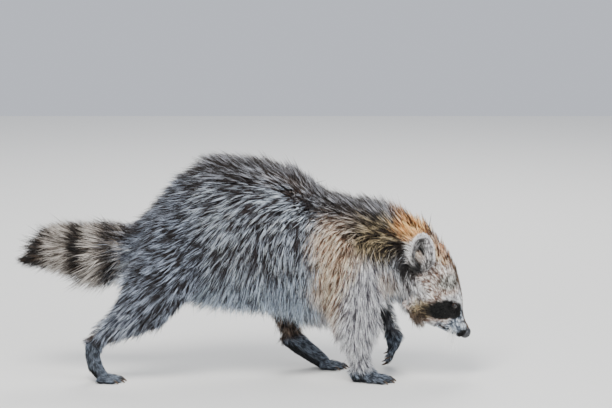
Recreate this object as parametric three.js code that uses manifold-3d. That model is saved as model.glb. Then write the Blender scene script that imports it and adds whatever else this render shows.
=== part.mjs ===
// A raccoon walking with its head low, at life size, as a still model. The solids give the outer form
// of the coat, so the body is thicker here than the animal's skin. Sizes are in millimetres: +X is
// forward, +Y is the animal's left, +Z is up, and the floor is z = 0 under the middle of the body.
// The right fore, right hind and left hind paws stand on the floor and the left forepaw is lifted.
import * as THREE from "three";
import { mergeVertices } from "three/addons/utils/BufferGeometryUtils.js";
import Module from "manifold-3d";

const wasm = await Module();
wasm.setup();

// Driving dimensions.
const GAP = 0.4; // clearance between neighbouring pieces
const FLOOR = 0;
const NECK_ROOT = [222, 0, 190];
const HEAD_TURN = -5; // the head looks a little to the animal's right, about the neck's root
const HEAD_PITCH = -46;
const EYE_RADIUS = 6.8;
const EYE = [315, 22.5, 113]; // centre of the left eye, before the head's turn
const SOCKET = { aside: 35, ahead: 3, above: 1, radius: 11 }; // a dish in the face, in which the eye shows
const EAR = { middle: [268, 46, 193], length: 30.5, width: 22, thickness: 10, wall: 4 };
const EAR_OPENING = [0.45, 0.86, 0.06]; // the way the left ear's hollow faces
const EAR_UPRIGHT = [0.06, 0.2, 1];
const NOSE = { middle: [332.5, 0, 67.2], halves: [8.4, 9.6, 9.2], pitch: -34 };
const MOUTH = { corner: [299, 0, 82], pitch: -36, length: 60, depth: 30 };
const FORE_DIGIT = { length: 31, radius: 4.1, pitch: 8.3, fan: 9, claw: 9 };
const HIND_DIGIT = { length: 28, radius: 4.4, pitch: 8.5, fan: 5, claw: 9.5 };
const DIGIT_SHARE = [0.72, 0.93, 1, 0.97, 0.8]; // inner to outer digit, of the longest
const PAW_Y = 49; // how far the paws stand from the middle plane
const LIMB_ROOM = { margin: 5, middleY: 68, halfWidth: 42 }; // the space of a limb's top in the trunk

const RIGHT = -1;
const LEFT = 1;
const SIDES = [["right", RIGHT], ["left", LEFT]];
const radians = THREE.MathUtils.degToRad;

// ---- shapes ----

// A station is one cross-section of a loft: x, y, z of its middle, the pitch of the way it faces in
// degrees, and its half sizes: up (dorsal, or the front of a leg), down (ventral, or the rear) and side.
// A loft is a closed form through its stations. Each end has a cap of its own length, rounded by rings.
function loft(stations, { around = 14, caps = [10, 10], rounds = [2, 2], grow = 0 } = {}) {
  const rings = [];
  const ring = ([x, y, z, pitch, up, down, side], beyond, share) => {
    const angle = radians(pitch);
    const facing = new THREE.Vector3(Math.cos(angle), 0, Math.sin(angle));
    const dorsal = new THREE.Vector3(-Math.sin(angle), 0, Math.cos(angle));
    const middle = new THREE.Vector3(x, y, z).addScaledVector(facing, beyond);
    const [above, below, aside] = [up, down, side].map((half) => (half + grow) * share);
    rings.push({ middle, dorsal, above, below, aside });
  };
  const cap = (station, length, count, way) => {
    const angles = Array.from({ length: count }, (_, i) => (90 * (count - i)) / count);
    for (const a of way > 0 ? angles.toReversed() : angles) {
      ring(station, way * (length + grow) * Math.sin(radians(a)), Math.cos(radians(a)));
    }
  };
  cap(stations[0], caps[0], rounds[0], -1);
  for (const station of stations) ring(station, 0, 1);
  cap(stations.at(-1), caps[1], rounds[1], 1);
  const geometry = new THREE.SphereGeometry(1, around, rings.length - 1);
  const places = geometry.attributes.position;
  rings.forEach(({ middle, dorsal, above, below, aside }, row) => {
    const isPole = row === 0 || row === rings.length - 1;
    for (let i = 0; i <= around; i++) {
      const turn = (2 * Math.PI * (i % around)) / around;
      const point = middle.clone();
      if (!isPole) point.addScaledVector(dorsal, Math.cos(turn) * (Math.cos(turn) > 0 ? above : below));
      if (!isPole) point.y += Math.sin(turn) * aside;
      places.setXYZ(row * (around + 1) + i, point.x, point.y, point.z);
    }
  });
  return geometry;
}

function ellipsoid(halves, around, rows) {
  return new THREE.SphereGeometry(1, around, rows).scale(...halves);
}

// Turns what lies ahead of the neck's root about the upright axis there, more and more over the neck.
function headTurned(geometry) {
  const places = geometry.attributes.position;
  const root = new THREE.Vector3(...NECK_ROOT);
  const facing = new THREE.Vector3(Math.cos(radians(HEAD_PITCH)), 0, Math.sin(radians(HEAD_PITCH)));
  const upright = new THREE.Vector3(0, 0, 1);
  const neckLength = 40;
  const point = new THREE.Vector3();
  for (let i = 0; i < places.count; i++) {
    point.fromBufferAttribute(places, i).sub(root);
    const share = THREE.MathUtils.smoothstep(point.dot(facing), 0, neckLength);
    point.applyAxisAngle(upright, radians(HEAD_TURN) * share).add(root);
    places.setXYZ(i, point.x, point.y, point.z);
  }
  return geometry;
}

// ---- solids ----

function solid(geometry) {
  const bare = geometry.clone();
  bare.deleteAttribute("normal");
  bare.deleteAttribute("uv");
  const merged = mergeVertices(bare, 1e-3);
  const vertProperties = merged.attributes.position.array;
  const triVerts = new Uint32Array(merged.index.array);
  return new wasm.Manifold(new wasm.Mesh({ numProp: 3, vertProperties, triVerts }));
}

function joined(solids) {
  return solids.reduce((all, one) => all.add(one));
}

function without(whole, cutters) {
  return cutters.reduce((left, one) => left.subtract(one), whole);
}

// The two sides of a plane through a point, facing along a pitch, with the clearance between them.
function parted(whole, [x, , z], pitch) {
  const normal = [Math.cos(radians(pitch)), 0, Math.sin(radians(pitch))];
  const offset = normal[0] * x + normal[2] * z;
  const behind = whole.trimByPlane(normal.map((n) => -n), -offset + GAP / 2);
  return [behind, whole.trimByPlane(normal, offset + GAP / 2)];
}

function onFloor(piece) {
  return piece.trimByPlane([0, 0, 1], FLOOR);
}

function largest(piece) {
  return piece.decompose().reduce((a, b) => (a.volume() > b.volume() ? a : b));
}

const animal = new THREE.Group();

function place(name, piece, material) {
  const mesh = largest(piece).getMesh();
  const geometry = new THREE.BufferGeometry();
  geometry.setAttribute("position", new THREE.BufferAttribute(mesh.vertProperties, 3));
  geometry.setIndex(new THREE.BufferAttribute(mesh.triVerts, 1));
  geometry.computeVertexNormals();
  const node = new THREE.Mesh(geometry, material);
  node.name = name;
  animal.add(node);
}

// ---- materials ----

const finish = (color, roughness) => new THREE.MeshStandardMaterial({ color, roughness, metalness: 0 });
const coat = finish(0x77706a, 0.9);
const maskedFace = finish(0x8d857c, 0.9);
const earFur = finish(0xd2cdc6, 0.9);
const tailFur = finish(0x7d7062, 0.9);
const pawSkin = finish(0x2e2c2d, 0.7);
const claw = finish(0x2a2420, 0.4);
const eyeGloss = finish(0x0e0a08, 0.1);
const noseLeather = finish(0x101012, 0.35);

// ---- trunk, neck, head and tail ----

const SPINE = [
  [-158, 0, 191, 0, 50, 42, 48],
  [-126, 0, 197, 0, 77, 65, 66],
  [-88, 0, 205, 0, 108, 88, 79],
  [-44, 0, 212, 0, 125, 104, 86],
  [4, 0, 211, 0, 127, 106, 88],
  [50, 0, 203, 0, 125, 105, 87],
  [86, 0, 193, 0, 122, 108, 84],
  [114, 0, 184, 0, 110, 102, 81],
  [138, 0, 179, 0, 101, 95, 78],
  [164, 0, 177, -3, 98, 91, 74],
  [192, 0, 178, -10, 91, 84, 68],
  [220, 0, 171, -24, 82, 63, 61],
  [243, 0, 152, -38, 75, 42, 54],
  [257, 0, 137, -44, 70, 37, 53],
  [272, 0, 120, -48, 64, 32, 53],
  [287, 0, 107, -50, 50, 29, 47],
  [300, 0, 98, -51, 36, 25, 36],
  [309, 0, 89, -48, 26, 22, 26],
  [316, 0, 80.5, -44.5, 19, 17, 19.5],
  [323.5, 0, 74, -43, 13.5, 13, 15.5],
  [331, 0, 68, -38, 10, 10, 12],
];
const CHEEK = [
  [247, 30, 127, -44, 20, 20, 22],
  [264, 35, 110, -48, 20, 21, 21],
  [280, 31, 97, -50, 15, 15, 16],
  [291, 22, 88, -52, 11, 11, 12],
];
const TAIL = [
  [-332, 0, 174, 34, 9, 9, 11],
  [-316, 0, 184, 24, 24, 23, 25],
  [-300, 0, 191, 14, 34, 33, 35],
  [-276, 0, 194, 5, 42, 42, 42],
  [-248, 0, 192, 3, 46, 46, 45],
  [-218, 0, 189, 2, 49, 49, 46],
  [-186, 0, 190, 3, 48, 48, 44],
  [-150, 0, 193, 6, 46, 40, 38],
];
const TAIL_ROOT = [-172, 0, 190];
const NECK_BASE = { at: [210, 0, 180], pitch: -10 };
const NAPE = { at: [246, 0, 190], pitch: -13 };

const sideOf = ([x, y, ...rest], side) => [x, side * y, ...rest];
const mirrored = (stations, side) => stations.map((station) => sideOf(station, side));

function spineForm(grow) {
  const spine = loft(SPINE, { around: 20, caps: [16, 5], rounds: [2, 2], grow });
  const cheeks = [RIGHT, LEFT].map((side) =>
    loft(mirrored(CHEEK, side), { around: 8, caps: [14, 8], rounds: [1, 2], grow }));
  return joined([spine, ...cheeks].map((geometry) => solid(headTurned(geometry))));
}

const tailForm = (grow) => solid(loft(TAIL, { around: 16, caps: [9, 10], grow }));

function eyeForm(side, grow) {
  const ball = new THREE.SphereGeometry(EYE_RADIUS + grow, 10, 8);
  return solid(headTurned(ball.translate(...sideOf(EYE, side))));
}

function socketForm(side) {
  const dish = new THREE.SphereGeometry(SOCKET.radius, 10, 6);
  const place = [EYE[0] + SOCKET.ahead, side * SOCKET.aside, EYE[2] + SOCKET.above];
  return solid(headTurned(dish.translate(...place)));
}

function noseForm(grow) {
  const pad = ellipsoid(NOSE.halves.map((half) => half + grow), 10, 8);
  return solid(headTurned(pad.rotateY(radians(-NOSE.pitch)).translate(...NOSE.middle)));
}

// The wedge of the muzzle under the line of the mouth, ahead of its corner.
function jawWedge(shrink) {
  const box = new THREE.BoxGeometry(MOUTH.length, MOUTH.length, MOUTH.depth);
  box.translate(MOUTH.length / 2 + shrink, 0, -MOUTH.depth / 2 - shrink);
  return solid(headTurned(box.rotateY(radians(-MOUTH.pitch)).translate(...MOUTH.corner)));
}

// An upright leaf with a hollow on the side that faces outwards and forwards.
function earForm(side) {
  const { middle, length, width, thickness, wall } = EAR;
  const outer = ellipsoid([thickness, width, length], 12, 10);
  const inner = ellipsoid([thickness, width - wall, length - wall], 10, 6);
  const opening = new THREE.Vector3(...sideOf(EAR_OPENING, side)).normalize();
  const across = new THREE.Vector3(...sideOf(EAR_UPRIGHT, side)).cross(opening).normalize();
  const upright = opening.clone().cross(across);
  const put = new THREE.Matrix4()
    .makeBasis(opening, across, upright)
    .setPosition(...sideOf(middle, side));
  const shaped = (geometry) => solid(headTurned(geometry.applyMatrix4(put)));
  return shaped(outer).subtract(shaped(inner.translate(thickness / 2 + 0.5, 0, wall / 2)));
}

// ---- legs ----

const LEGS = [
  {
    name: "foreleg_right",
    parts: ["shoulder", "forearm", "paw"],
    side: RIGHT,
    digit: FORE_DIGIT,
    upper: [
      [166, -50, 206, -90, 34, 34, 25],
      [163, -53, 168, -90, 45, 44, 31],
      [166, -54, 128, -90, 47, 45, 31],
      [166, -54, 92, -90, 45, 43, 28],
    ],
    lower: [
      [166, -54, 100, -90, 46, 43, 28],
      [166, -52, 72, -90, 42, 40, 25],
      [168, -50, 46, -88, 29, 28, 20],
      [173, -49, 28, -84, 20, 19, 17],
      [176, -49, 15, -80, 16, 15, 15.5],
    ],
    palm: [
      [164, -PAW_Y, 12, 0, 9, 13, 12.5],
      [178, -PAW_Y, 11, -4, 9, 12, 16.5],
      [193, -PAW_Y, 9, -8, 7, 10, 16.5],
    ],
    knuckles: { at: [190, -PAW_Y, 5.6], pitch: 0, bends: [6, -10, -16] },
    elbowOrKnee: { at: [168, 0, 98], pitch: -90 },
    wristOrHeel: { at: [174, 0, 23], pitch: -84 },
  },
  {
    name: "foreleg_left",
    parts: ["shoulder", "forearm", "paw"],
    side: LEFT,
    digit: FORE_DIGIT,
    upper: [
      [153, 50, 200, -84, 36, 36, 25],
      [166, 53, 165, -76, 41, 42, 30],
      [184, 54, 134, -68, 33, 36, 27],
      [194, 54, 114, -66, 27, 30, 23],
    ],
    lower: [
      [190, 54, 124, -66, 29, 32, 24],
      [206, 54, 95, -68, 21, 25, 19],
      [217, 52, 74, -76, 17, 19, 16],
      [224, 50, 56, -86, 12.5, 12.5, 13.5],
    ],
    palm: [
      [225, 50, 60, -86, 12, 12, 13],
      [227, 50, 46, -92, 11, 12, 16],
      [226, 50, 35, -100, 8, 10, 16.5],
    ],
    knuckles: { at: [227, 50, 38], pitch: -100, bends: [0, -14, -30] },
    elbowOrKnee: { at: [190, 0, 122], pitch: -66 },
    wristOrHeel: { at: [225, 0, 58], pitch: -86 },
  },
  {
    name: "hindleg_right",
    parts: ["thigh", "shank", "foot"],
    side: RIGHT,
    digit: HIND_DIGIT,
    upper: [
      [-92, -52, 234, -90, 44, 42, 25],
      [-98, -55, 198, -94, 58, 60, 33],
      [-108, -56, 164, -106, 56, 68, 35],
      [-124, -56, 136, -124, 47, 70, 33],
      [-144, -54, 117, -138, 46, 60, 30],
    ],
    lower: [
      [-142, -54, 119, -138, 47, 60, 30],
      [-167, -52, 102, -142, 44, 40, 27],
      [-191, -50, 85, -138, 33, 30, 22],
      [-212, -PAW_Y, 70, -128, 23, 21, 18],
      [-225, -PAW_Y, 56, -104, 13.5, 12, 14],
    ],
    palm: [
      [-226, -PAW_Y, 58, -100, 12.5, 11.5, 13.5],
      [-227, -PAW_Y, 40, -88, 10.5, 10.5, 13],
      [-223, -PAW_Y, 23, -70, 10.5, 11, 15],
      [-212, -PAW_Y, 9.5, -16, 8.5, 11.5, 17],
    ],
    knuckles: { at: [-212, -PAW_Y, 4.8], pitch: 0, bends: [2, -4, -12] },
    elbowOrKnee: { at: [-138, 0, 122], pitch: -134 },
    wristOrHeel: { at: [-222, 0, 61], pitch: -122 },
  },
  {
    name: "hindleg_left",
    parts: ["thigh", "shank", "foot"],
    side: LEFT,
    digit: HIND_DIGIT,
    upper: [
      [-80, 52, 228, -76, 42, 44, 25],
      [-60, 55, 196, -60, 48, 56, 33],
      [-26, 56, 172, -48, 46, 55, 35],
      [10, 56, 152, -58, 42, 50, 34],
      [38, 56, 132, -74, 38, 44, 31],
    ],
    lower: [
      [34, 56, 138, -74, 39, 44, 32],
      [54, 55, 108, -80, 34, 36, 29],
      [66, 53, 80, -84, 27, 28, 25],
      [70, 51, 62, -80, 22, 24, 21],
    ],
    palm: [
      [60, 50, 57, -48, 15, 17, 15],
      [83, 50, 37, -42, 13.5, 15.5, 15.5],
      [105, 50, 20.5, -36, 11.5, 13, 16.5],
      [121, 50, 10, -14, 8.5, 12, 17.5],
    ],
    knuckles: { at: [122, 50, 5], pitch: 0, bends: [0, -4, -12] },
    elbowOrKnee: { at: [42, 0, 124], pitch: -74 },
    wristOrHeel: { at: [72, 0, 54], pitch: -72 },
  },
];

// One digit and its claw, from the knuckle forward, in the digit's own frame. The digit ends in a
// small flat, which the claw's base meets.
function digitForms(digit, share, bends) {
  const thick = [1.02, 0.94, 1, 0.88, 0.64].map((part) => part * digit.radius);
  const bones = [0.4, 0.33, 0.27].map((part) => part * digit.length * share);
  const tip = 0.55 * digit.radius;
  const along = ([x, z], length, bend) => [
    x + length * Math.cos(radians(bend)),
    z + length * Math.sin(radians(bend)),
  ];
  const joints = [[-2, 0]];
  for (const [i, bone] of [...bones, tip].entries()) {
    joints.push(along(joints[i], bone, bends[Math.min(i, 2)]));
  }
  const faced = [bends[0], bends[0], bends[1], bends[2], bends[2]];
  const toe = joints.map(([x, z], i) => [x, 0, z, faced[i], thick[i], thick[i], thick[i]]);
  const rise = 0.9; // the claw grows from the upper half of the tip
  const base = along(along(joints.at(-1), 2 * GAP, bends[2]), rise, bends[2] + 90);
  const bow = along(base, 0.45 * digit.claw, bends[2] - 6);
  const nail = [
    [base[0], 0, base[1], bends[2], 2.3, 2.3, 1.9],
    [bow[0], 0, bow[1], bends[2] - 26, 1.6, 1.6, 1.3],
  ];
  return {
    toe: loft(toe, { around: 6, caps: [3, GAP / 8], rounds: [1, 1] }),
    nail: loft(nail, { around: 5, caps: [GAP / 8, 0.55 * digit.claw], rounds: [1, 1] }),
  };
}

function digitFrame(leg, index) {
  const { at, pitch } = leg.knuckles;
  const { pitch: apart, fan } = leg.digit;
  const outwards = leg.side * (index - 2);
  const back = 1.4 * (index - 2) ** 2;
  const own = new THREE.Matrix4()
    .makeRotationZ(radians(outwards * fan))
    .setPosition(-back, outwards * apart, 0);
  return new THREE.Matrix4().makeRotationY(radians(-pitch)).setPosition(...at).multiply(own);
}

// The space that the top of a leg takes out of the trunk. It is widest at the trunk's surface, so
// that the parting meets the surface square.
function limbRoom(leg, grow) {
  const { margin, middleY, halfWidth } = LIMB_ROOM;
  const wide = leg.upper.map(([x, , z, pitch, up, down]) => [
    x, leg.side * middleY, z, pitch, up + margin, down + margin, halfWidth,
  ]);
  return solid(loft(wide, { around: 10, caps: [30, 20], rounds: [2, 1], grow }));
}

function buildLeg(leg, torso, torsoRoom, tailRoom) {
  const thigh = solid(loft(leg.upper, { around: 12, caps: [26, 14], rounds: [2, 1] }));
  const flesh = [
    solid(loft(leg.lower, { around: 10, caps: [12, 8], rounds: [1, 2] })),
    solid(loft(leg.palm, { around: 10, caps: [8, 5], rounds: [1, 2] })),
  ];
  const nails = [];
  DIGIT_SHARE.forEach((share, index) => {
    const { toe, nail } = digitForms(leg.digit, share, leg.knuckles.bends);
    const frame = digitFrame(leg, index);
    flesh.push(solid(toe.applyMatrix4(frame)));
    nails.push(solid(nail.applyMatrix4(frame)));
  });
  const { elbowOrKnee, wristOrHeel } = leg;
  const top = torso.add(thigh).intersect(limbRoom(leg, 0)).subtract(tailRoom);
  const [upper] = parted(top, elbowOrKnee.at, elbowOrKnee.pitch);
  const [, below] = parted(joined([thigh, ...flesh]), elbowOrKnee.at, elbowOrKnee.pitch);
  const clear = below.subtract(torsoRoom.subtract(limbRoom(leg, 0)));
  const [lower, paw] = parted(onFloor(clear), wristOrHeel.at, wristOrHeel.pitch);
  const names = leg.parts.map((part) => `${leg.name}_${part}`);
  place(names[0], upper, coat);
  place(names[1], lower, coat);
  place(names[2], paw, pawSkin);
  nails.forEach((nail, index) => place(`${leg.name}_claw_${index + 1}`, onFloor(nail), claw));
}

// ---- assembly ----

const torso = spineForm(0).add(tailForm(0));
const [tail, beforeTail] = parted(torso, TAIL_ROOT, 0);
const [trunk, front] = parted(beforeTail, NECK_BASE.at, NECK_BASE.pitch);
const [neck, wholeHead] = parted(front, NAPE.at, NAPE.pitch);
const limbRooms = LEGS.map((leg) => limbRoom(leg, GAP));
const faceRooms = SIDES.flatMap(([, side]) => [socketForm(side), eyeForm(side, GAP)]);
const head = without(wholeHead, [...faceRooms, noseForm(GAP)]);

place("trunk", without(trunk, limbRooms), coat);
place("neck", without(neck, limbRooms), coat);
place("tail", tail, tailFur);
place("head", head.subtract(jawWedge(0)), maskedFace);
place("lower_jaw", head.intersect(jawWedge(GAP)), maskedFace);
place("nose", noseForm(0), noseLeather);

const earBed = spineForm(GAP);
for (const [label, side] of SIDES) {
  place(`eye_${label}`, eyeForm(side, 0), eyeGloss);
  place(`ear_${label}`, earForm(side).subtract(earBed), earFur);
}

const torsoRoom = earBed.add(tailForm(GAP));
const [tailRoom] = parted(tailForm(GAP), [TAIL_ROOT[0] + GAP, 0, 0], 0);
for (const leg of LEGS) buildLeg(leg, torso, torsoRoom, tailRoom);

export default animal;
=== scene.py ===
import math

import bmesh
import bpy
import numpy as np
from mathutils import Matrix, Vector
from mathutils.bvhtree import BVHTree
from mathutils.kdtree import KDTree


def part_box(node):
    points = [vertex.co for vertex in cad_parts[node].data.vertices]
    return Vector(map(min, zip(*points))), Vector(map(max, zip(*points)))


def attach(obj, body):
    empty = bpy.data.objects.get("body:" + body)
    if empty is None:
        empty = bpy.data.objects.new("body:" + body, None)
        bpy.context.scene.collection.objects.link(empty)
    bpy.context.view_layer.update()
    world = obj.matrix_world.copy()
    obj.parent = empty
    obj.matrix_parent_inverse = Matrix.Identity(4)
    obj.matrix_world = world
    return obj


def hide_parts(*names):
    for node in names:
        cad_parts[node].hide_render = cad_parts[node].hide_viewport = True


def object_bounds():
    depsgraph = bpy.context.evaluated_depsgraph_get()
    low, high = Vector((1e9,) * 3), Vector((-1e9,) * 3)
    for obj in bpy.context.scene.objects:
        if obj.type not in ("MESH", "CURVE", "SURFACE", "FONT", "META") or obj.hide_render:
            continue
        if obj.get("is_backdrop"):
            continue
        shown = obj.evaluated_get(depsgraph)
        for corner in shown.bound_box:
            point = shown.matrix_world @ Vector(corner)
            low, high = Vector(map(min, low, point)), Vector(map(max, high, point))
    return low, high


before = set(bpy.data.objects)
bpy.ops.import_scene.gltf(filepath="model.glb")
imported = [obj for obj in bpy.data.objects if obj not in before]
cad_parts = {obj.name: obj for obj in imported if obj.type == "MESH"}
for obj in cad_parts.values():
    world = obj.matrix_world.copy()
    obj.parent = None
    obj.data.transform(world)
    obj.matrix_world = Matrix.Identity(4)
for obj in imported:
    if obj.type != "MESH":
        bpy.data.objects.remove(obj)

CAD_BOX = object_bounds()
MM = 0.001
random = np.random.default_rng(20)

# ---- driving values ----

PHOTO = (612, 408)  # the photo's size in pixels
PIXEL = 1.5 * MM  # a photo pixel at the animal
FRAME_ORIGIN = (244.5, 376)  # the pixel of the frame's origin
CAMERA_RISE = math.radians(9)
CAMERA_DISTANCE = 5.0
SENSOR = 36.0

HEAD_PITCH = math.radians(-48)
VOXEL = 1.7 * MM
INFLATE = 0.5 * MM  # closes the clearances between the CAD pieces
NOSE_SUNK = 0.8 * MM  # the skin under the leather of the nose
LID = 0.9 * MM  # thickness of the eyelids over the eyeball
SKIN_TRIANGLES = 150_000
EYE_FINE, EYE_FINEST, NOSE_FINE = 17 * MM, 12.5 * MM, 13 * MM  # the edges are halved within each
THINNEST = 0.52  # the most of a part's half thickness that the coat may take
GROUP_BLUR, DEPTH_BLUR, REACH_BLUR = 14, 10, 6  # steps
SHRINK_STEPS = 14
FIRST_SMOOTHING, SMOOTHING = 10, 3  # steps before the shrinking and in each step of it
SOFTENING = 0.5  # how far each smoothing step moves the skin towards its neighbours' mean
JUST_INSIDE, LONGEST_RAY = 0.3 * MM, 300 * MM  # for rays cast through the body
SKIN_FLOOR = 0.3 * MM  # the skin keeps this far above the floor
COAT_FLOOR = 0.5 * MM  # and the coat this far


# ---- numbers on meshes ----


def ramp(low, high, value):
    """0 at low and 1 at high, with a soft start and end."""
    share = np.clip((value - low) / (high - low), 0, 1)
    return share * share * (3 - 2 * share)


def norm(vectors):
    return np.linalg.norm(vectors, axis=-1)


def unit(vectors):
    return vectors / np.maximum(norm(vectors)[..., None], 1e-12)


def linear(hexes):
    """Linear colours of sRGB hex strings."""
    srgb = np.array([[int(h[i:i + 2], 16) / 255 for i in (0, 2, 4)] for h in hexes])
    return np.where(srgb <= 0.04045, srgb / 12.92, ((srgb + 0.055) / 1.055) ** 2.4)


def noise(points, size, seed):
    """Smooth value noise in 0 to 1 at a size in metres."""
    scaled = points / size + 37.3 * seed
    cell = np.floor(scaled).astype(np.int64)
    part = scaled - cell
    part = part * part * (3 - 2 * part)
    total = np.zeros(len(points))
    for corner in np.ndindex(2, 2, 2):
        at = cell + corner
        mixed = at[:, 0] * 73856093 ^ at[:, 1] * 19349663 ^ at[:, 2] * 83492791 ^ (seed * 2654435761)
        mixed = (mixed ^ (mixed >> 13)) * 1274126177 & 0xFFFFFFFF
        value = ((mixed ^ (mixed >> 16)) & 0xFFFF) / 0xFFFF
        weight = np.prod(np.where(corner, part, 1 - part), axis=1)
        total += weight * value
    return total


def fields(items, name, width, kind=float):
    """A field of a mesh's items, one row for each."""
    values = np.empty(len(items) * width, kind)
    items.foreach_get(name, values)
    return values.reshape(-1, width)


class Net:
    """Positions, edges and faces of a mesh, with smoothing and normals by numpy."""

    def __init__(self, mesh):
        mesh.calc_loop_triangles()
        self.points = fields(mesh.vertices, "co", 3)
        self.edges = fields(mesh.edges, "vertices", 2, np.int64)
        self.faces = fields(mesh.loop_triangles, "vertices", 3, np.int64)
        self.count = np.bincount(self.edges.ravel(), minlength=len(self.points))

    def around(self, values):
        """The mean over each vertex's neighbours."""
        a, b = self.edges.T
        both = np.concatenate([a, b])
        columns = values.reshape(len(values), -1)[np.concatenate([b, a])]
        size = len(self.points)
        sums = [np.bincount(both, column, size) for column in columns.T]
        return (np.stack(sums, 1) / np.maximum(self.count, 1)[:, None]).reshape(values.shape)

    def blurred(self, values, steps):
        for _ in range(steps):
            values = 0.4 * values + 0.6 * self.around(values)
        return values

    def face_cross(self, points):
        a, b, c = (points[self.faces[:, i]] for i in range(3))
        return np.cross(b - a, c - a)

    def normals(self):
        cross = self.face_cross(self.points)
        size = len(self.points)
        total = [np.bincount(self.faces.ravel(), np.repeat(column, 3), size) for column in cross.T]
        return unit(np.stack(total, 1))


def joined(forms):
    """The points and faces of several forms as one."""
    starts = np.cumsum([0] + [len(points) for points, _ in forms])
    faces = [faces + start for (_, faces), start in zip(forms, starts)]
    return np.concatenate([points for points, _ in forms]), np.concatenate(faces)


def new_mesh(name, points, faces):
    mesh = bpy.data.meshes.new(name)
    mesh.from_pydata(points.tolist(), [], faces.tolist())
    mesh.update()
    return mesh


def new_object(name, mesh):
    piece = bpy.data.objects.new(name, mesh)
    bpy.context.scene.collection.objects.link(piece)
    return piece


def modified(piece):
    """The mesh of a piece with its modifiers applied."""
    bpy.context.view_layer.update()
    evaluated = piece.evaluated_get(bpy.context.evaluated_depsgraph_get())
    return bpy.data.meshes.new_from_object(evaluated)


def middle(node):
    low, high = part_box(node)
    return np.array((low + high) / 2)


# ---- the head's own frame ----

EYES = {side: middle(f"eye_{side}") for side in ("right", "left")}
EYE_RADIUS = (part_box("eye_right")[1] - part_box("eye_right")[0])[2] / 2
BROW = (EYES["right"] + EYES["left"]) / 2
ASIDE = unit(EYES["left"] - EYES["right"])
LEVEL_AHEAD = unit(np.cross(ASIDE, [0, 0, 1]))
AHEAD = math.cos(HEAD_PITCH) * LEVEL_AHEAD + math.sin(HEAD_PITCH) * np.array([0, 0, 1])
DORSAL = np.cross(AHEAD, ASIDE)


def in_head(points):
    """Places in millimetres: ahead of the brow, to the animal's left, and dorsal."""
    return (points - BROW) @ np.stack([AHEAD, ASIDE, DORSAL], 1) / MM


def from_head(ahead, aside, dorsal):
    return BROW + MM * (ahead * AHEAD + aside * ASIDE + dorsal * DORSAL)


# ---- skin ----

LIMBS = ("foreleg_right", "foreleg_left", "hindleg_right", "hindleg_left")
FLESH = [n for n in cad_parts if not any(word in n for word in ("claw", "eye", "nose"))]
FEET = [n for n in FLESH if n.endswith(("paw", "foot"))]
GROUPS = {
    "torso": ["trunk", "neck"],
    "head": ["head", "lower_jaw"],
    "ears": ["ear_right", "ear_left"],
    "tail": ["tail"],
    **{limb: [n for n in FLESH if n.startswith(limb) and n not in FEET] for limb in LIMBS},
    **{f"{limb}_paw": [n for n in FEET if n.startswith(limb)] for limb in LIMBS},
}
GROUP = {name: i for i, name in enumerate(GROUPS)}
PAWS = [GROUP[f"{limb}_paw"] for limb in LIMBS]


def by_group(torso, head, ears, tail, limb, paw):
    """One number for each group, in the order of GROUPS."""
    return np.array([torso, head, ears, tail] + [limb] * len(LIMBS) + [paw] * len(LIMBS))


GROUP_DEPTH = by_group(torso=22, head=0, ears=0.8, tail=25, limb=17, paw=0.9)  # millimetres
GROUP_SOFTNESS = by_group(torso=1, head=0.3, ears=0.12, tail=1, limb=0.9, paw=0.1)
GAZE = (0.82, 0.5, 0.28)  # outwards, ahead and dorsal
EYE_CORNERS = (0.95, -0.32)  # the way of the line through them: ahead and dorsal
LID_OPENING = (0.82, 0.6)  # half the opening, as a share of the eyeball's radius
MOUTH_CORNER = (12.3, -32.6)  # in the head's frame: ahead and dorsal, in millimetres
MOUTH_SLOPE = math.radians(12)
MOUTH_DEPTH = 1.1 * MM


def inflated(node, amount):
    """A node's mesh, moved out along its normals."""
    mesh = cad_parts[node].data.copy()
    form = bmesh.new()
    form.from_mesh(mesh)
    bmesh.ops.remove_doubles(form, verts=form.verts, dist=1e-6)
    bmesh.ops.recalc_face_normals(form, faces=form.faces)
    form.normal_update()
    moved = [vertex.co + vertex.normal * amount for vertex in form.verts]
    for vertex, place in zip(form.verts, moved):
        vertex.co = place
    form.to_mesh(mesh)
    form.free()
    return mesh


def body_envelope():
    """One closed surface around the flesh, out to the tips of the coat."""
    form = bmesh.new()
    amounts = {node: INFLATE for node in FLESH}
    amounts |= {"eye_right": LID, "eye_left": LID, "nose": -NOSE_SUNK}
    for node, amount in amounts.items():
        form.from_mesh(inflated(node, amount))
    mesh = bpy.data.meshes.new("envelope")
    form.to_mesh(mesh)
    form.free()
    piece = new_object("envelope", mesh)
    remesh = piece.modifiers.new("remesh", "REMESH")
    remesh.mode = "VOXEL"
    remesh.voxel_size = VOXEL
    triangles = 2 * len(modified(piece).polygons)
    smaller = piece.modifiers.new("smaller", "DECIMATE")
    smaller.ratio = min(1, SKIN_TRIANGLES / triangles)
    skin = modified(piece)
    bpy.data.objects.remove(piece)
    return largest_part(skin)


def largest_part(mesh):
    """Drops what isn't joined to the largest part, such as a sealed slit inside."""
    net = Net(mesh)
    label = np.arange(len(net.points))
    a, b = net.edges.T
    while True:
        low = np.minimum(label[a], label[b])
        lower = label.copy()
        np.minimum.at(lower, a, low)
        np.minimum.at(lower, b, low)
        lower = lower[lower]
        if (lower == label).all():
            break
        label = lower
    kept = label == np.bincount(label).argmax()
    index = np.cumsum(kept) - 1
    faces = net.faces[kept[net.faces[:, 0]]]
    return new_mesh("skin", net.points[kept], index[faces])


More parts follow.
